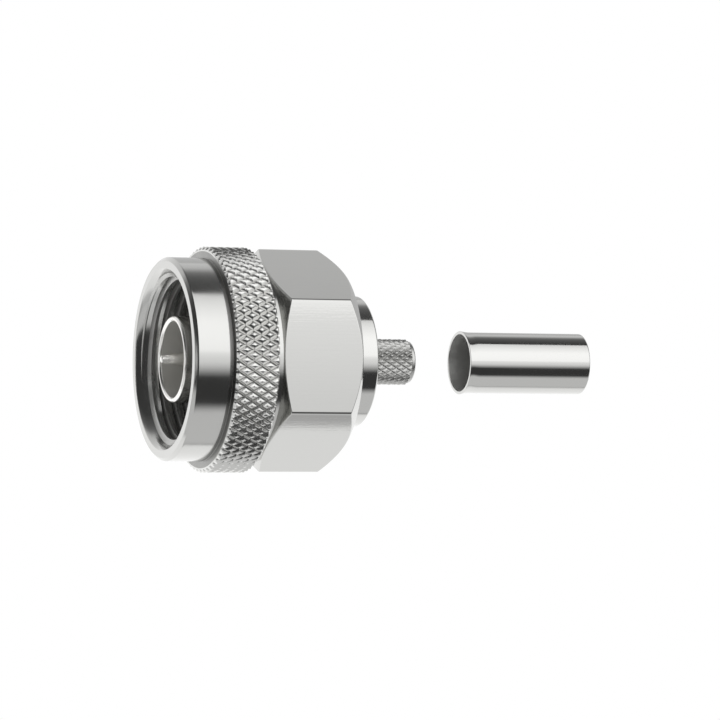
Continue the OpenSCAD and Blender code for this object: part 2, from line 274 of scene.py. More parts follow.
def turnedMesh(name, outlineAt, angles, material, stretches):
    # sweeps a closed outline, which may change with the angle, about the X axis; each stretch is another
    # material, from one point of the outline to another
    rings = [softened(outlineAt(a)) for a in angles]
    count, around = len(rings[0]), len(angles)
    materials, numbers = [material], [0] * count
    for other, first, last in stretches:
        numbers[first:last] = [len(materials)] * (last - first)
        materials.append(other)
    build = bmesh.new()
    grid = [[build.verts.new((p.x * mm, p.y * math.cos(a) * mm, p.y * math.sin(a) * mm)) for p in ring]
            for ring, a in zip(rings, angles)]
    for i in range(around):
        for k in range(count):
            j, n = (i + 1) % around, (k + 1) % count
            face = build.faces.new((grid[i][k], grid[j][k], grid[j][n], grid[i][n]))
            face.smooth = True
            face.material_index = numbers[k]
    bmesh.ops.recalc_face_normals(build, faces=build.faces)
    mesh = bpy.data.meshes.new(name)
    build.to_mesh(mesh)
    build.free()
    for each in materials:
        mesh.materials.append(each)
    mesh.set_sharp_from_angle(angle=math.radians(sharpEdge))
    return mesh


def roundMesh(name, outline, count, material, stretches):
    # the same for a round piece, in count even steps
    angles = [2 * math.pi * i / count for i in range(count)]
    return turnedMesh(name, lambda angle: outline, angles, material, stretches)


def newGrowth(name, inputs):
    # a node tree with named inputs; gives the tree and its input sockets
    tree = bpy.data.node_groups.new(name, "GeometryNodeTree")
    tree.interface.new_socket("Geometry", in_out="OUTPUT", socket_type="NodeSocketGeometry")
    for label, kind in inputs.items():
        tree.interface.new_socket(label, in_out="INPUT", socket_type="NodeSocket" + kind)
    return tree, addNode(tree, "NodeGroupInput").outputs


def wrapRoundAxis(tree, grid, x, turn, radius):
    # puts each point of the grid at its x, its turns round the axis and its radius, and joins what meets
    angle = addNode(tree, "ShaderNodeMath", {0: turn.outputs[0], 1: 2 * math.pi}, operation="MULTIPLY")
    cosine = addNode(tree, "ShaderNodeMath", {0: angle.outputs[0]}, operation="COSINE")
    sine = addNode(tree, "ShaderNodeMath", {0: angle.outputs[0]}, operation="SINE")
    y = addNode(tree, "ShaderNodeMath", {0: cosine.outputs[0], 1: radius.outputs[0]}, operation="MULTIPLY")
    z = addNode(tree, "ShaderNodeMath", {0: sine.outputs[0], 1: radius.outputs[0]}, operation="MULTIPLY")
    point = addNode(tree, "ShaderNodeCombineXYZ", {"X": x.outputs[0], "Y": y.outputs[0], "Z": z.outputs[0]})
    moved = addNode(tree, "GeometryNodeSetPosition", {
        "Geometry": grid.outputs[0], "Position": point.outputs[0]})
    return addNode(tree, "GeometryNodeMergeByDistance", {
        "Geometry": moved.outputs[0], "Distance": 0.001 * mm})


def finishGrowth(tree, shape, material):
    real = addNode(tree, "GeometryNodeRealizeInstances", {0: shape.outputs[0]})
    dressed = addNode(tree, "GeometryNodeSetMaterial", {"Geometry": real.outputs[0], "Material": material})
    addNode(tree, "NodeGroupOutput", {0: dressed.outputs[0]})


def knurlTree():
    # a closed ring whose outside is cut by two crossing sets of helical grooves; Crest goes from near 0 for
    # points with wide flats to 0.5 for full ones, and Roundness swells their flanks
    tree, given = newGrowth("diamondKnurl", {
        "Start": "Float", "Length": "Float", "Groove Radius": "Float", "Depth": "Float",
        "Inner Radius": "Float", "Edge": "Float", "Around": "Int", "Rows": "Int", "Fineness": "Int",
        "Crest": "Float", "Roundness": "Float", "Material": "Material"})
    rowCuts = addNode(tree, "ShaderNodeMath", {0: given["Rows"], 1: given["Fineness"]},
                      operation="MULTIPLY")
    # across: the rows of the knurl, two more at each end for its bevel and its inside, and the first again
    wide = addNode(tree, "ShaderNodeMath", {0: rowCuts.outputs[0], 1: 6}, operation="ADD")
    roundCuts = addNode(tree, "ShaderNodeMath", {0: given["Around"], 1: given["Fineness"]},
                        operation="MULTIPLY")
    long = addNode(tree, "ShaderNodeMath", {0: roundCuts.outputs[0], 1: 2, 2: 1}, operation="MULTIPLY_ADD")
    grid = addNode(tree, "GeometryNodeMeshGrid", {
        "Size X": 1, "Size Y": 1, "Vertices X": wide.outputs[0], "Vertices Y": long.outputs[0]})
    where = addNode(tree, "GeometryNodeInputPosition")
    split = addNode(tree, "ShaderNodeSeparateXYZ", {0: where.outputs[0]})
    # row number of each point, from 0, and the part of a turn that it stands at
    half = addNode(tree, "ShaderNodeMath", {0: split.outputs["X"], 1: 0.5}, operation="ADD")
    last = addNode(tree, "ShaderNodeMath", {0: wide.outputs[0], 1: 1}, operation="SUBTRACT")
    rowRaw = addNode(tree, "ShaderNodeMath", {0: half.outputs[0], 1: last.outputs[0]}, operation="MULTIPLY")
    row = addNode(tree, "ShaderNodeMath", {0: rowRaw.outputs[0]}, operation="ROUND")
    share = addNode(tree, "ShaderNodeMath", {0: split.outputs["Y"], 1: 0.5}, operation="ADD")
    # place along the knurl, held at its ends
    step = addNode(tree, "ShaderNodeMath", {0: row.outputs[0], 1: 2}, operation="SUBTRACT")
    low = addNode(tree, "ShaderNodeMath", {0: step.outputs[0], 1: 0}, operation="MAXIMUM")
    cut = addNode(tree, "ShaderNodeMath", {0: low.outputs[0], 1: rowCuts.outputs[0]}, operation="MINIMUM")
    along = addNode(tree, "ShaderNodeMath", {0: cut.outputs[0], 1: rowCuts.outputs[0]}, operation="DIVIDE")
    body = addNode(tree, "ShaderNodeMath", {0: given["Edge"], 1: -2, 2: given["Length"]},
                   operation="MULTIPLY_ADD")
    inBand = addNode(tree, "ShaderNodeMath", {0: row.outputs[0], 1: 1.5}, operation="GREATER_THAN")
    pastBand = addNode(tree, "ShaderNodeMath", {0: rowCuts.outputs[0], 1: 2.5}, operation="ADD")
    after = addNode(tree, "ShaderNodeMath", {0: row.outputs[0], 1: pastBand.outputs[0]},
                    operation="GREATER_THAN")
    closing = addNode(tree, "ShaderNodeMath", {0: pastBand.outputs[0], 1: 2}, operation="ADD")
    back = addNode(tree, "ShaderNodeMath", {0: row.outputs[0], 1: closing.outputs[0]},
                   operation="GREATER_THAN")
    edges = addNode(tree, "ShaderNodeMath", {0: inBand.outputs[0], 1: after.outputs[0]}, operation="ADD")
    onBody = addNode(tree, "ShaderNodeMath", {0: along.outputs[0], 1: body.outputs[0], 2: given["Start"]},
                     operation="MULTIPLY_ADD")
    onPiece = addNode(tree, "ShaderNodeMath", {0: edges.outputs[0], 1: given["Edge"], 2: onBody.outputs[0]},
                      operation="MULTIPLY_ADD")
    wrap = addNode(tree, "ShaderNodeMath", {0: back.outputs[0], 1: given["Length"]}, operation="MULTIPLY")
    x = addNode(tree, "ShaderNodeMath", {0: onPiece.outputs[0], 1: wrap.outputs[0]}, operation="SUBTRACT")
    # height between the grooves: the lower of two triangle waves that cross
    turns = addNode(tree, "ShaderNodeMath", {0: share.outputs[0], 1: given["Around"]}, operation="MULTIPLY")
    halfRows = addNode(tree, "ShaderNodeMath", {0: given["Rows"], 1: 0.5}, operation="MULTIPLY")
    rise = addNode(tree, "ShaderNodeMath", {0: along.outputs[0], 1: halfRows.outputs[0]},
                   operation="MULTIPLY")
    first = addNode(tree, "ShaderNodeMath", {0: turns.outputs[0], 1: rise.outputs[0]}, operation="ADD")
    second = addNode(tree, "ShaderNodeMath", {0: turns.outputs[0], 1: rise.outputs[0]},
                     operation="SUBTRACT")
    waveA = addNode(tree, "ShaderNodeMath", {0: first.outputs[0], 1: 0.5}, operation="PINGPONG")
    waveB = addNode(tree, "ShaderNodeMath", {0: second.outputs[0], 1: 0.5}, operation="PINGPONG")
    lower = addNode(tree, "ShaderNodeMath", {0: waveA.outputs[0], 1: waveB.outputs[0]}, operation="MINIMUM")
    crest = addNode(tree, "ShaderNodeMath", {0: lower.outputs[0], 1: given["Crest"]}, operation="MINIMUM")
    slope = addNode(tree, "ShaderNodeMath", {0: crest.outputs[0], 1: given["Crest"]}, operation="DIVIDE")
    drop = addNode(tree, "ShaderNodeMath", {0: 1, 1: slope.outputs[0]}, operation="SUBTRACT")
    swell = addNode(tree, "ShaderNodeMath", {0: drop.outputs[0], 1: given["Roundness"], 2: 1},
                    operation="MULTIPLY_ADD")
    height = addNode(tree, "ShaderNodeMath", {0: slope.outputs[0], 1: swell.outputs[0]},
                     operation="MULTIPLY")
    inside = addNode(tree, "ShaderNodeMath", {0: inBand.outputs[0], 1: after.outputs[0]},
                     operation="SUBTRACT")
    lift = addNode(tree, "ShaderNodeMath", {0: height.outputs[0], 1: inside.outputs[0]},
                   operation="MULTIPLY")
    outer = addNode(tree, "ShaderNodeMath", {
        0: lift.outputs[0], 1: given["Depth"], 2: given["Groove Radius"]}, operation="MULTIPLY_ADD")
    front = addNode(tree, "ShaderNodeMath", {0: row.outputs[0], 1: 0.5}, operation="LESS_THAN")
    backRow = addNode(tree, "ShaderNodeMath", {0: pastBand.outputs[0], 1: 1}, operation="ADD")
    rear = addNode(tree, "ShaderNodeMath", {0: row.outputs[0], 1: backRow.outputs[0]},
                   operation="GREATER_THAN")
    innerRow = addNode(tree, "ShaderNodeMath", {0: front.outputs[0], 1: rear.outputs[0]}, operation="ADD")
    radius = addNode(tree, "ShaderNodeMix", {
        "Factor": innerRow.outputs[0], 2: outer.outputs[0], 3: given["Inner Radius"]}, data_type="FLOAT")
    joined = wrapRoundAxis(tree, grid, x, share, radius)
    # the shorter diagonal of a cell runs along the groove
    triangles = addNode(tree, "GeometryNodeTriangulate", {"Mesh": joined.outputs[0]},
                        quad_method="SHORTEST_DIAGONAL")
    finishGrowth(tree, triangles, given["Material"])
    return tree


def threadTree():
    # the ridge of an inside thread: four points wide and closed by the first again, wound along the bore,
    # trimmed by the lead-in and the relief
    tree, given = newGrowth("insideThread", {
        "Front": "Float", "End": "Float", "Mouth Radius": "Float", "Root Radius": "Float",
        "Crest Radius": "Float", "Pitch": "Float", "Turns": "Int", "Cuts": "Int", "Material": "Material"})
    long = addNode(tree, "ShaderNodeMath", {0: given["Turns"], 1: given["Cuts"], 2: 1},
                   operation="MULTIPLY_ADD")
    grid = addNode(tree, "GeometryNodeMeshGrid", {
        "Size X": 4, "Size Y": 1, "Vertices X": 5, "Vertices Y": long.outputs[0]})
    where = addNode(tree, "GeometryNodeInputPosition")
    split = addNode(tree, "ShaderNodeSeparateXYZ", {0: where.outputs[0]})
    rowRaw = addNode(tree, "ShaderNodeMath", {0: split.outputs["X"], 1: 2}, operation="ADD")
    rowWhole = addNode(tree, "ShaderNodeMath", {0: rowRaw.outputs[0]}, operation="ROUND")
    row = addNode(tree, "ShaderNodeMath", {0: rowWhole.outputs[0], 1: 4}, operation="MODULO")
    share = addNode(tree, "ShaderNodeMath", {0: split.outputs["Y"], 1: 0.5}, operation="ADD")
    turn = addNode(tree, "ShaderNodeMath", {0: share.outputs[0], 1: given["Turns"]}, operation="MULTIPLY")
    # flank points lie a quarter of the pitch apart
    offset = addNode(tree, "ShaderNodeMath", {0: row.outputs[0], 1: 0.25, 2: -1}, operation="MULTIPLY_ADD")
    way = addNode(tree, "ShaderNodeMath", {0: turn.outputs[0], 1: offset.outputs[0]}, operation="ADD")
    raw = addNode(tree, "ShaderNodeMath", {0: way.outputs[0], 1: given["Pitch"], 2: given["Front"]},
                  operation="MULTIPLY_ADD")
    notBefore = addNode(tree, "ShaderNodeMath", {0: raw.outputs[0], 1: given["Front"]}, operation="MAXIMUM")
    x = addNode(tree, "ShaderNodeMath", {0: notBefore.outputs[0], 1: given["End"]}, operation="MINIMUM")
    # the two outer points of the four are at the root, the two inner ones at the crest
    offMiddle = addNode(tree, "ShaderNodeMath", {0: row.outputs[0], 1: 1.5}, operation="SUBTRACT")
    away = addNode(tree, "ShaderNodeMath", {0: offMiddle.outputs[0]}, operation="ABSOLUTE")
    isRoot = addNode(tree, "ShaderNodeMath", {0: away.outputs[0], 1: 1}, operation="GREATER_THAN")
    ridge = addNode(tree, "ShaderNodeMix", {
        "Factor": isRoot.outputs[0], 2: given["Crest Radius"], 3: given["Root Radius"]}, data_type="FLOAT")
    # the lead-in cone, at 45 degrees, trims the first turns
    gone = addNode(tree, "ShaderNodeMath", {0: x.outputs[0], 1: given["Front"]}, operation="SUBTRACT")
    cone = addNode(tree, "ShaderNodeMath", {0: given["Mouth Radius"], 1: gone.outputs[0]},
                   operation="SUBTRACT")
    radius = addNode(tree, "ShaderNodeMath", {0: ridge.outputs[0], 1: cone.outputs[0]}, operation="MAXIMUM")
    finishGrowth(tree, wrapRoundAxis(tree, grid, x, turn, radius), given["Material"])
    return tree


def grownMesh(name, tree, values):
    # runs a node tree once and gives its result as a plain mesh
    carrier = newObject(name, bpy.data.meshes.new(name + "Seed"))
    modifier = carrier.modifiers.new("grow", "NODES")
    modifier.node_group = tree
    for item in tree.interface.items_tree:
        if item.in_out == "INPUT":
            modifier[item.identifier] = values[item.name]
    evaluated = carrier.evaluated_get(bpy.context.evaluated_depsgraph_get())
    mesh = bpy.data.meshes.new_from_object(evaluated)
    bpy.data.objects.remove(carrier)
    build = bmesh.new()
    build.from_mesh(mesh)
    bmesh.ops.recalc_face_normals(build, faces=build.faces)
    build.to_mesh(mesh)
    build.free()
    return mesh


def joinedPiece(name, meshes, turn=0):
    # one object from several meshes, with their materials kept, turned about X by turn degrees
    materials, build = [], bmesh.new()
    for mesh in meshes:
        if turn:
            mesh.transform(Matrix.Rotation(math.radians(turn), 4, "X"))
        places = []
        for material in mesh.materials:
            if material not in materials:
                materials.append(material)
            places.append(materials.index(material))
        first = len(build.faces)
        build.from_mesh(mesh)
        build.faces.ensure_lookup_table()
        for face in build.faces[first:]:
            face.material_index = places[face.material_index]
    result = bpy.data.meshes.new(name)
    build.to_mesh(result)
    build.free()
    for material in materials:
        result.materials.append(material)
    return newObject(name, result)


knurl = knurlTree()
thread = threadTree()
print("node trees made")


# sizes in mm in the dictionaries of the pieces; x runs from the mating face, radii are from the axis
nutValues = {
    "turn": -2,               # degrees about the axis
    "sleeveRadius": 9.4,
    "rimBevel": 0.3,
    "mouthRadius": 8.4,
    "threadMajor": 7.9375,
    "threadMinor": 7.42,
    "threadPitch": 25.4 / 24,
    "threadEnd": 6.9,
    "threadTurns": 9,         # more than the thread's length holds; what is past its end is flat
    "threadCuts": 160,        # steps in each turn
    "threadSink": 0.12,       # of the ridge's foot into the nut
    "leadSink": 0.03,         # of the ridge below the lead-in
    "reliefEnd": 8.5,
    "reliefRadius": 8.04,
    "stepFoot": 2.82,
    "paintedShadeWidth": 0.34,        # of sleeve beside the step that is painted darker, as shade in the corner
    "knurlStart": 2.85,
    "knurlLength": 4.15,
    "knurlRadius": 10.45,
    "knurlDepth": 0.34,       # of the core under the knurl
    "knurlRelief": 0.3,       # of its grooves
    "knurlBevel": 0.2,        # at both its ends
    "knurlAround": 69,
    "knurlRows": 5,
    "knurlFineness": 6,       # steps across each point
    "knurlCrest": 0.46,
    "knurlRoundness": 0.75,
    "coreDrop": 0.08,         # of the core below the grooves, where it can't show
    "coreBack": 0.15,         # from the core's end to the knurl's
    "bandSink": 0.25,         # of the knurled ring's inside into the neck
    "neckRadius": 8.8,
    "hexStart": 7.85,
    "hexFlat": 9,             # half the width across flats
    "hexCorner": 0.32,        # rounding of its long edges
    "hexCuts": 56,            # steps on each flat
    "cornerCuts": 6,          # steps over each corner
    "chamferRadius": 8.85,
    "frontChamfer": 25,       # degrees
    "rearChamfer": 40,
    "boreRadius": 7.3,
    "grooveRadius": 7.95,
    "grooveFrom": 11.43,
    "grooveTo": 12.37,
    "rearBore": 6.2,
    "rearWall": 1.4,
    "edgeRound": 0.05,        # rounding of most edges
    "lipRound": 0.08,
    "stepRound": 0.03,
    "flatRound": 0.07,
    "boreRound": 0.1,
    "rearRound": 0.12,
}


def hexagonRadius(angle, flat, corner):
    # distance from the axis to a hexagon with rounded corners; one corner is at 90 degrees
    side = math.radians(60)
    off = (angle - math.radians(90) + side / 2) % side - side / 2
    centre = (flat - corner) / math.cos(side / 2)
    limit = math.atan2(centre * math.sin(side / 2), flat)
    if abs(off) > side / 2 - limit:
        return flat / math.cos(side / 2 - abs(off))
    return centre * math.cos(off) + math.sqrt(corner ** 2 - (centre * math.sin(off)) ** 2)


def hexagonAngles(flat, corner, cuts, cornerCuts):
    # even steps round a sixth of a turn, with finer ones over its corner
    side = 2 * math.pi / 6
    room = 1.05               # the finer ones go on a little past the corner
    width = math.atan2(corner * 0.6, flat / math.cos(side / 2)) * room
    steps = [-width + 2 * width * i / cornerCuts for i in range(cornerCuts)]
    steps += [width + (side - 2 * width) * i / cuts for i in range(cuts)]
    return [math.pi / 2 + side * k + s for k in range(6) for s in steps]


def makeNut(v):
    low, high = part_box("coupling_nut")
    front, end = low[0] / mm, high[0] / mm
    core = v["knurlRadius"] - v["knurlDepth"] - v["coreDrop"]
    coreEnd = v["knurlStart"] + v["knurlLength"] - v["coreBack"]
    lead = v["mouthRadius"] - v["threadMajor"]

    def outline(angle):
        flat = hexagonRadius(angle, v["hexFlat"], v["hexCorner"])
        rise = flat - v["chamferRadius"]
        chamferIn = v["hexStart"] + rise * math.tan(math.radians(v["frontChamfer"]))
        chamferOut = end - rise * math.tan(math.radians(v["rearChamfer"]))
        return [
            (front, v["sleeveRadius"] - v["rimBevel"], v["edgeRound"]),
            (front + v["rimBevel"], v["sleeveRadius"], v["lipRound"]),
            (v["stepFoot"] - v["paintedShadeWidth"], v["sleeveRadius"], 0),
            (v["stepFoot"], v["sleeveRadius"], v["stepRound"]), (v["knurlStart"], core, 0),
            (coreEnd, core, 0), (coreEnd, v["neckRadius"], 0),
            (v["hexStart"], v["neckRadius"], 0), (v["hexStart"], v["chamferRadius"], 0),
            (chamferIn, flat, v["flatRound"]), (chamferOut, flat, v["flatRound"]),
            (end, v["chamferRadius"], v["edgeRound"]), (end, v["rearBore"], v["rearRound"]),
            (end - v["rearWall"], v["rearBore"], 0), (end - v["rearWall"], v["boreRadius"], 0),
            (v["grooveTo"], v["boreRadius"], 0), (v["grooveTo"], v["grooveRadius"], 0),
            (v["grooveFrom"], v["grooveRadius"], 0), (v["grooveFrom"], v["boreRadius"], 0),
            (v["reliefEnd"], v["boreRadius"], v["boreRound"]),
            (v["reliefEnd"], v["reliefRadius"], v["boreRound"]),
            (v["threadEnd"], v["reliefRadius"], 0), (v["threadEnd"], v["threadMajor"], 0),
            (front + lead, v["threadMajor"], 0), (front, v["mouthRadius"], v["edgeRound"]),
        ]

    # the flats are drawn bar from the end of their front rounding to the rear one, the corner at the foot
    # of the step is painted darker as shade, and the rest is turned
    angles = hexagonAngles(v["hexFlat"], v["hexCorner"], v["hexCuts"], v["cornerCuts"])
    starts = cornerStarts(outline(0))
    shell = turnedMesh("nutShell", outline, angles, turned, [
        (drawn, starts[9] + arcPoints, starts[10] + 1), (nickelPaintedShadeAtStep, starts[2], starts[4])])
    band = grownMesh("nutKnurl", knurl, {
        "Start": v["knurlStart"] * mm, "Length": v["knurlLength"] * mm,
        "Groove Radius": (v["knurlRadius"] - v["knurlRelief"]) * mm, "Depth": v["knurlRelief"] * mm,
        "Inner Radius": (v["neckRadius"] - v["bandSink"]) * mm, "Edge": v["knurlBevel"] * mm,
        "Around": v["knurlAround"], "Rows": v["knurlRows"], "Fineness": v["knurlFineness"],
        "Crest": v["knurlCrest"], "Roundness": v["knurlRoundness"], "Material": knurled})
    ridge = grownMesh("nutThread", thread, {
        "Front": front * mm, "End": v["threadEnd"] * mm,
        "Mouth Radius": (v["mouthRadius"] + v["leadSink"]) * mm,
        "Root Radius": (v["threadMajor"] + v["threadSink"]) * mm, "Crest Radius": v["threadMinor"] * mm,
        "Pitch": v["threadPitch"] * mm, "Turns": v["threadTurns"], "Cuts": v["threadCuts"],
        "Material": cutThreadPaintedShade})
    nut = joinedPiece("couplingNut", [shell, band, ridge], v["turn"])
    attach(nut, "nut")
    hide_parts("coupling_nut")


makeNut(nutValues)
print("coupling nut made")


bodyValues = {
    "collarRadius": 7.2,
    "collarFrom": 9.9,
    "collarTo": 13.4,
    "grooveFrom": 11.13,
    "grooveTo": 12.67,
    "grooveRadius": 6.5,
    "barrelRadius": 6.1,
    "shoulder": 18.2,
    "shoulderBevel": 0.15,
    "stemRadius": 2.15,
    "stemDepth": 0.16,        # of the grooves of its knurl
    "stemGap": 0.3,           # from the shoulder to the knurl
    "stemBevel": 0.1,         # at both ends of the knurl
    "stemRound": 0.35,
    "stemAround": 22,
    "stemRows": 9,
    "stemFineness": 4,        # steps across each point
    "stemCrest": 0.44,
    "stemRoundness": 0.45,
    "coreDrop": 0.04,         # of the core below the grooves, where it can't show
    "bandSink": 0.15,         # of the knurled ring's inside into the core
    "cableBore": 1.55,
    "footRadius": 5.2,
    "footSeat": 10.4,
    "tailRadius": 4.4,
    "insulatorEnd": 14.7,
    "cavityRadius": 3.5,
    "rearInsulatorFrom": 16,
    "rearInsulatorTo": 17.2,
    "rearInsulatorRadius": 3,
    "collarRound": 0.08,
    "grooveRound": 0.05,
    "shoulderRound": 0.06,
    "boreRound": 0.08,
    "steps": 256,             # round the axis
}


def makeBody(v):
    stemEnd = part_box("body")[1][0] / mm
    core = v["stemRadius"] - v["stemDepth"] - v["coreDrop"]
    outline = [
        (v["collarFrom"], v["footRadius"], 0), (v["collarFrom"], v["collarRadius"], v["collarRound"]),
        (v["grooveFrom"], v["collarRadius"], v["grooveRound"]), (v["grooveFrom"], v["grooveRadius"], 0),
        (v["grooveTo"], v["grooveRadius"], 0), (v["grooveTo"], v["collarRadius"], v["grooveRound"]),
        (v["collarTo"], v["collarRadius"], v["collarRound"]), (v["collarTo"], v["barrelRadius"], 0),
        (v["shoulder"] - v["shoulderBevel"], v["barrelRadius"], v["shoulderRound"]),
        (v["shoulder"], v["barrelRadius"] - v["shoulderBevel"], v["shoulderRound"]),
        (v["shoulder"], core, v["grooveRound"]), (stemEnd, core, v["stemRound"]),
        (stemEnd, v["cableBore"], v["boreRound"]), (v["rearInsulatorTo"], v["cableBore"], 0),
        (v["rearInsulatorTo"], v["rearInsulatorRadius"], 0),
        (v["rearInsulatorFrom"], v["rearInsulatorRadius"], 0),
        (v["rearInsulatorFrom"], v["cavityRadius"], 0), (v["insulatorEnd"], v["cavityRadius"], 0),
        (v["insulatorEnd"], v["tailRadius"], 0), (v["footSeat"], v["tailRadius"], 0),
        (v["footSeat"], v["footRadius"], 0),
    ]
    # the stem's core and its end are left as dull as its knurl
    starts = cornerStarts(outline)
    shell = roundMesh("bodyShell", outline, v["steps"], polished, [(crimpKnurl, starts[10], starts[13])])
    band = grownMesh("stemKnurl", knurl, {
        "Start": (v["shoulder"] + v["stemGap"]) * mm,
        "Length": (stemEnd - v["shoulder"] - v["stemGap"] - v["stemRound"]) * mm,
        "Groove Radius": (v["stemRadius"] - v["stemDepth"]) * mm, "Depth": v["stemDepth"] * mm,
        "Inner Radius": (core - v["bandSink"]) * mm, "Edge": v["stemBevel"] * mm, "Around": v["stemAround"],
        "Rows": v["stemRows"], "Fineness": v["stemFineness"], "Crest": v["stemCrest"],
        "Roundness": v["stemRoundness"], "Material": crimpKnurl})
    body = joinedPiece("plugBody", [shell, band])
    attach(body, "plug")
    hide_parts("body")


makeBody(bodyValues)
print("body made")


contactValues = {
    "outside": 4,
    "bore": 3.5,
    "tipBevel": 0.15,
    "footFrom": 9.4,
    "footTo": 10.4,
    "footRadius": 5.2,
    "tailRadius": 4.4,
    "tipRound": 0.05,
    "footRound": 0.1,
    "steps": 192,             # round the axis
}


def makeOuterContact(v):
    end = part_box("outer_contact")[1][0] / mm
    outline = [
        (0, v["bore"] + v["tipBevel"], v["tipRound"]), (0, v["outside"] - v["tipBevel"], v["tipRound"]),
        (v["tipBevel"], v["outside"], v["tipRound"]), (v["footFrom"], v["outside"], v["footRound"]),
        (v["footFrom"], v["footRadius"], v["footRound"]), (v["footTo"], v["footRadius"], 0),
        (v["footTo"], v["tailRadius"], 0), (end, v["tailRadius"], 0), (end, v["bore"], 0),
        (v["tipBevel"], v["bore"], v["tipRound"]),
    ]
    # the bore is the stretch that starts at the ninth corner
    starts = cornerStarts(outline)
    mesh = roundMesh("outerContact", outline, v["steps"], silver, [(silverBore, starts[8], starts[9])])
    contact = newObject("outerContact", mesh)
    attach(contact, "plug")
    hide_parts("outer_contact")


makeOuterContact(contactValues)
print("outer contact made")


ferruleValues = {
    "tubeRadius": 2.88,
    "wall": 0.28,
    "flareRadius": 2.99,
    "flareLength": 0.7,
    "endRound": 0.14,
    "flareRound": 0.3,        # where the flare meets the tube
    "mouthRound": 0.06,
    "lipRound": 0.04,
    "insideRound": 0.05,
    "steps": 192,             # round the axis
}


def makeFerrule(v):
    low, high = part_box("crimp_ferrule")
    start, end = low[0] / mm, high[0] / mm
    flareEnd = start + v["flareLength"]
    outline = [
        (start, v["flareRadius"] - v["wall"], v["lipRound"]), (start, v["flareRadius"], v["mouthRound"]),
        (flareEnd, v["tubeRadius"], v["flareRound"]), (end, v["tubeRadius"], v["endRound"]),
        (end, v["tubeRadius"] - v["wall"], v["insideRound"]),
        (flareEnd, v["tubeRadius"] - v["wall"], v["flareRound"]),
    ]
    starts = cornerStarts(outline)
    mesh = roundMesh("crimpFerrule", outline, v["steps"], polished, [(tubeInsidePaintedShade, starts[4], starts[6])])
    ferrule = newObject("crimpFerrule", mesh)
    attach(ferrule, "ferrule")
    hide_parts("crimp_ferrule")


makeFerrule(ferruleValues)
print("ferrule made")


keptPieces = {
    "snap_ring": bronze,
    "centre_contact": silver,
    "front_insulator": ptfe,
    "rear_insulator": ptfe,
    "gasket": silicone,
}

for nodeName, material in keptPieces.items():
    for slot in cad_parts[nodeName].material_slots:
        slot.material = material
print("kept pieces dressed")


middle = 0.02                 # m along the axis, about the middle of the object

floorValues = {
    "drop": 0.1,              # m below the axis
    "reach": 0.5,             # m to each side
    "colour": "#e9e9e7",
    "roughness": 0.8,
    "fadeFrom": 0.1,          # m from the middle, where the floor starts to turn white
    "fadeTo": 0.2,
}


def plainMesh(name, points, faces, material):
    mesh = bpy.data.meshes.new(name)
    mesh.from_pydata(points, [], faces)
    mesh.materials.append(material)
    return mesh


def makeFloor(v):
    material, tree, shader, place = newMaterial("paleFloor")
    shader.inputs["Base Color"].default_value = linearColour(v["colour"])
    shader.inputs["Roughness"].default_value = v["roughness"]
    # away from the object the floor turns into the white background, and from below it isn't there
    centred = addNode(tree, "ShaderNodeMapping", {"Vector": place, "Location": (-middle, 0, v["drop"])})
    far = addNode(tree, "ShaderNodeVectorMath", {0: centred.outputs[0]}, operation="LENGTH")
    fade = addNode(tree, "ShaderNodeMapRange", {
        "Value": far.outputs["Value"], "From Min": v["fadeFrom"], "From Max": v["fadeTo"]},
        interpolation_type="SMOOTHSTEP")
    path = addNode(tree, "ShaderNodeLightPath")
    white = addNode(tree, "ShaderNodeMath", {0: fade.outputs[0], 1: path.outputs["Is Camera Ray"]},
                    operation="MULTIPLY")
    glow = addNode(tree, "ShaderNodeEmission", {"Color": (1, 1, 1, 1), "Strength": 1})
    top = addNode(tree, "ShaderNodeMixShader", {
        0: white.outputs[0], 1: shader.outputs[0], 2: glow.outputs[0]})
    clear = addNode(tree, "ShaderNodeBsdfTransparent")
    side = addNode(tree, "ShaderNodeNewGeometry")
    under = addNode(tree, "ShaderNodeMath", {
        0: side.outputs["Backfacing"], 1: path.outputs["Is Camera Ray"]}, operation="MULTIPLY")
    both = addNode(tree, "ShaderNodeMixShader", {
        0: under.outputs[0], 1: top.outputs[0], 2: clear.outputs[0]})
    output = next(n for n in tree.nodes if n.type == "OUTPUT_MATERIAL")
    tree.links.new(both.outputs[0], output.inputs["Surface"])
    corners = [(middle + x * v["reach"], y * v["reach"], -v["drop"])
               for x, y in ((-1, -1), (1, -1), (1, 1), (-1, 1))]
    floor = newObject("floor", plainMesh("floor", corners, [(0, 1, 2, 3)], material))
    floor.visible_glossy = False          # the tent stands in for it in reflections


surroundingsValues = {
    "fill": 0.55,             # strength as light
    "seen": 1.0,              # strength where it is seen, also in reflections: white
}


def makeSurroundings(v):
    world = bpy.data.worlds.new("surroundings")
    scene.world = world
    world.use_nodes = True
    tree = world.node_tree
    tree.nodes.clear()
    path = addNode(tree, "ShaderNodeLightPath")
    seen = addNode(tree, "ShaderNodeMath", {
        0: path.outputs["Is Camera Ray"], 1: path.outputs["Is Glossy Ray"]}, operation="MAXIMUM")
    shown = addNode(tree, "ShaderNodeMath", {
        0: seen.outputs[0], 1: path.outputs["Is Transmission Ray"]}, operation="MAXIMUM")
    strength = addNode(tree, "ShaderNodeMix", {
        "Factor": shown.outputs[0], 2: v["fill"], 3: v["seen"]}, data_type="FLOAT")
    light = addNode(tree, "ShaderNodeBackground", {"Color": (1, 1, 1, 1), "Strength": strength.outputs[0]})
    addNode(tree, "ShaderNodeOutputWorld", {"Surface": light.outputs[0]})


lampValues = {
    # direction from the object; distance and size in m; the face is about as bright as level times white
    "keySoftbox": {"direction": (0.36, -0.8, 0.5), "distance": 0.28, "size": (0.4, 0.3), "level": 1.2},
    "frontLamp": {"direction": (-1, -0.12, 0.06), "distance": 0.3, "size": (0.12, 0.12), "level": 20},
}


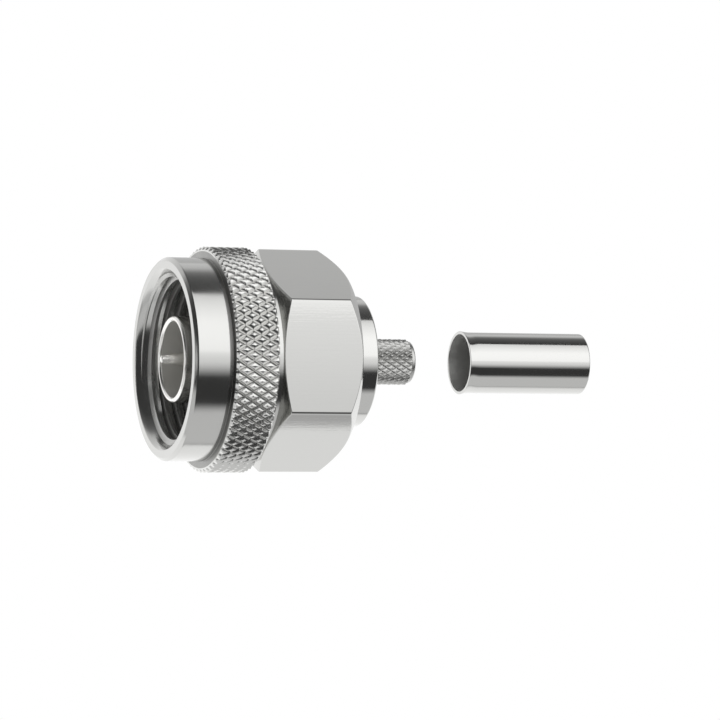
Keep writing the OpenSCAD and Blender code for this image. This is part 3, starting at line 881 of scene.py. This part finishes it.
def makeLamp(name, v):
    toward = Vector(v["direction"]).normalized()
    data = bpy.data.lights.new(name, "AREA")
    data.shape = "RECTANGLE"
    data.size, data.size_y = v["size"]
    data.energy = v["level"] * math.pi * data.size * data.size_y
    lamp = newObject(name, data)
    lamp.location = Vector((middle, 0, 0)) + toward * v["distance"]
    lamp.rotation_mode = "QUATERNION"
    lamp.rotation_quaternion = toward.to_track_quat("Z", "Y")
    lamp.visible_glossy = False           # reflections see the tent


def newGlow(name):
    # a material that only shines: itself, its tree, its strength and the place on the object
    material = bpy.data.materials.new(name)
    material.use_nodes = True
    tree = material.node_tree
    tree.nodes.clear()
    glow = addNode(tree, "ShaderNodeEmission", {"Color": (1, 1, 1, 1)})
    addNode(tree, "ShaderNodeOutputMaterial", {"Surface": glow.outputs[0]})
    place = addNode(tree, "ShaderNodeTexCoord")
    return material, tree, glow.inputs["Strength"], place.outputs["Object"]


def levelRamp(tree, share, levels):
    # the level at each share of the way; it is halved in the ramp, which holds no more than 1
    ramp = addNode(tree, "ShaderNodeValToRGB", {"Fac": share.outputs[0]})
    stops = ramp.color_ramp.elements
    while len(stops) > 1:
        stops.remove(stops[0])
    for i, (place, level) in enumerate(levels):
        stop = stops[0] if i == 0 else stops.new(place)
        stop.position = place
        stop.color = (level / 2, level / 2, level / 2, 1)
    return addNode(tree, "ShaderNodeMath", {0: ramp.outputs["Color"], 1: 2}, operation="MULTIPLY")


def stageReflected(name, mesh):
    # something of the studio that only reflections see
    obj = newObject(name, mesh)
    obj.visible_camera = False
    obj.visible_diffuse = False
    obj.visible_shadow = False


cardValues = {
    # each card is a strip between two points (y, z) in mm, from one x to another; its levels run from the
    # first point (0) to the second (1)
    "softbox": {"from": (-105, -36), "to": (-23, 89), "x": (-17, 110),
                "levels": ((0, 0.05), (0.1, 0.36), (0.2, 0.8), (0.26, 1.02), (0.3, 1.05), (0.369, 1.24),
                           (0.374, 1.44), (0.53, 1.5), (0.64, 1.5), (1, 1))},
    "side": {"from": (-105, -36), "to": (-23, 89), "x": (110, 420),
             "levels": ((0, 0.05), (0.1, 0.3), (0.28, 0.7), (0.5, 0.85), (1, 0.65))},
    # painted shadow: a grey strip 30 mm below the axis that stands in for the object's shadow on a table,
    # seen only in reflections
    "paintedTableShadow": {"from": (-30, -30), "to": (4.6, -30), "x": (-120, 200),
              "levels": ((0, 0.05), (0.25, 0.74), (0.92, 0.74), (0.955, 0.55), (1, 0.64))},
}


def makeCard(name, v):
    # a bright strip
    left, right = v["x"]
    corners = [(x * mm, y * mm, z * mm) for x, (y, z) in (
        (left, v["from"]), (right, v["from"]), (right, v["to"]), (left, v["to"]))]
    start, end = Vector(v["from"]) * mm, Vector(v["to"]) * mm
    way = (end - start).normalized()
    low = start.dot(way)
    material, tree, strength, place = newGlow(name)
    along = addNode(tree, "ShaderNodeVectorMath", {0: place, 1: (0, way.x, way.y)}, operation="DOT_PRODUCT")
    share = addNode(tree, "ShaderNodeMapRange", {
        "Value": along.outputs["Value"], "From Min": low, "From Max": low + (end - start).length})
    tree.links.new(levelRamp(tree, share, v["levels"]).outputs[0], strength)
    stageReflected(name, plainMesh(name, corners, [(0, 1, 2, 3)], material))


tentValues = {
    "radius": 0.3,            # m
    "reach": 0.9,             # m to each side of the middle
    "cards": 48,              # round the axis
    # level of the tent's inside by the angle round the axis, 0 is level with the front and 90 overhead
    "levels": ((-180, 1.15), (-150, 1.2), (-112, 1.12), (-100, 0.7), (-62, 0.6), (-52, 0.05), (0, 0.05),
               (80, 0.06), (98, 0.12), (106, 0.16), (114, 0.27), (124, 0.7), (136, 0.8), (180, 1.15)),
    # the left end is dark, less so high up and low down
    "darkFrom": -0.36,
    "darkTo": -0.3,
    "darkLevel": 0.05,
    "darkHeight": 0.1,
    "darkFade": 0.22,
    "darkLeast": 0.35,
    # behind, from this angle on, the right side is dimmer than the left
    "dimAngle": 138,
    "dimFrom": 0.03,
    "dimTo": 0.09,
    "dimLevel": 0.6,
}


def makeTent(v):
    # a light tent of cards round the object
    points, faces = [], []
    for card in range(v["cards"]):
        a = 2 * math.pi * card / v["cards"]
        y, z = -v["radius"] * math.cos(a), v["radius"] * math.sin(a)
        points += [(middle - v["reach"], y, z), (middle + v["reach"], y, z)]
        here, after = 2 * card, 2 * ((card + 1) % v["cards"])
        faces.append((here, here + 1, after + 1, after))
    material, tree, strength, place = newGlow("lightTent")
    split = addNode(tree, "ShaderNodeSeparateXYZ", {0: place})
    front = addNode(tree, "ShaderNodeMath", {0: split.outputs["Y"], 1: -1}, operation="MULTIPLY")
    angle = addNode(tree, "ShaderNodeMath", {0: split.outputs["Z"], 1: front.outputs[0]},
                    operation="ARCTAN2")
    turnShare = addNode(tree, "ShaderNodeMapRange", {
        "Value": angle.outputs[0], "From Min": -math.pi, "From Max": math.pi})
    levels = [((degrees + 180) / 360, level) for degrees, level in v["levels"]]
    full = levelRamp(tree, turnShare, levels)
    dimmed = addNode(tree, "ShaderNodeMath", {0: full.outputs[0], 1: v["dimLevel"]}, operation="MINIMUM")
    right = addNode(tree, "ShaderNodeMapRange", {
        "Value": split.outputs["X"], "From Min": v["dimFrom"], "From Max": v["dimTo"]},
        interpolation_type="SMOOTHSTEP")
    behind = addNode(tree, "ShaderNodeMath", {0: angle.outputs[0], 1: math.radians(v["dimAngle"])},
                     operation="GREATER_THAN")
    dim = addNode(tree, "ShaderNodeMath", {0: right.outputs[0], 1: behind.outputs[0]}, operation="MULTIPLY")
    sided = addNode(tree, "ShaderNodeMix", {
        "Factor": dim.outputs[0], 2: full.outputs[0], 3: dimmed.outputs[0]}, data_type="FLOAT")
    left = addNode(tree, "ShaderNodeMapRange", {
        "Value": split.outputs["X"], "From Min": v["darkFrom"], "From Max": v["darkTo"],
        "To Min": 1, "To Max": 0}, interpolation_type="SMOOTHSTEP")
    height = addNode(tree, "ShaderNodeMath", {0: split.outputs["Z"]}, operation="ABSOLUTE")
    darkness = addNode(tree, "ShaderNodeMapRange", {
        "Value": height.outputs[0], "From Min": v["darkHeight"], "From Max": v["darkFade"],
        "To Min": 1, "To Max": v["darkLeast"]}, interpolation_type="SMOOTHSTEP")
    shade = addNode(tree, "ShaderNodeMath", {0: left.outputs[0], 1: darkness.outputs[0]},
                    operation="MULTIPLY")
    level = addNode(tree, "ShaderNodeMix", {
        "Factor": shade.outputs[0], 2: sided.outputs[0], 3: v["darkLevel"]}, data_type="FLOAT")
    tree.links.new(level.outputs[0], strength)
    stageReflected("lightTent", plainMesh("lightTent", points, faces, material))


makeFloor(floorValues)
makeSurroundings(surroundingsValues)
for lampName, lampValue in lampValues.items():
    makeLamp(lampName, lampValue)
makeTent(tentValues)
for cardName, cardValue in cardValues.items():
    makeCard(cardName + "Card", cardValue)
scene.view_settings.view_transform = "Standard"
print("stage and light set")
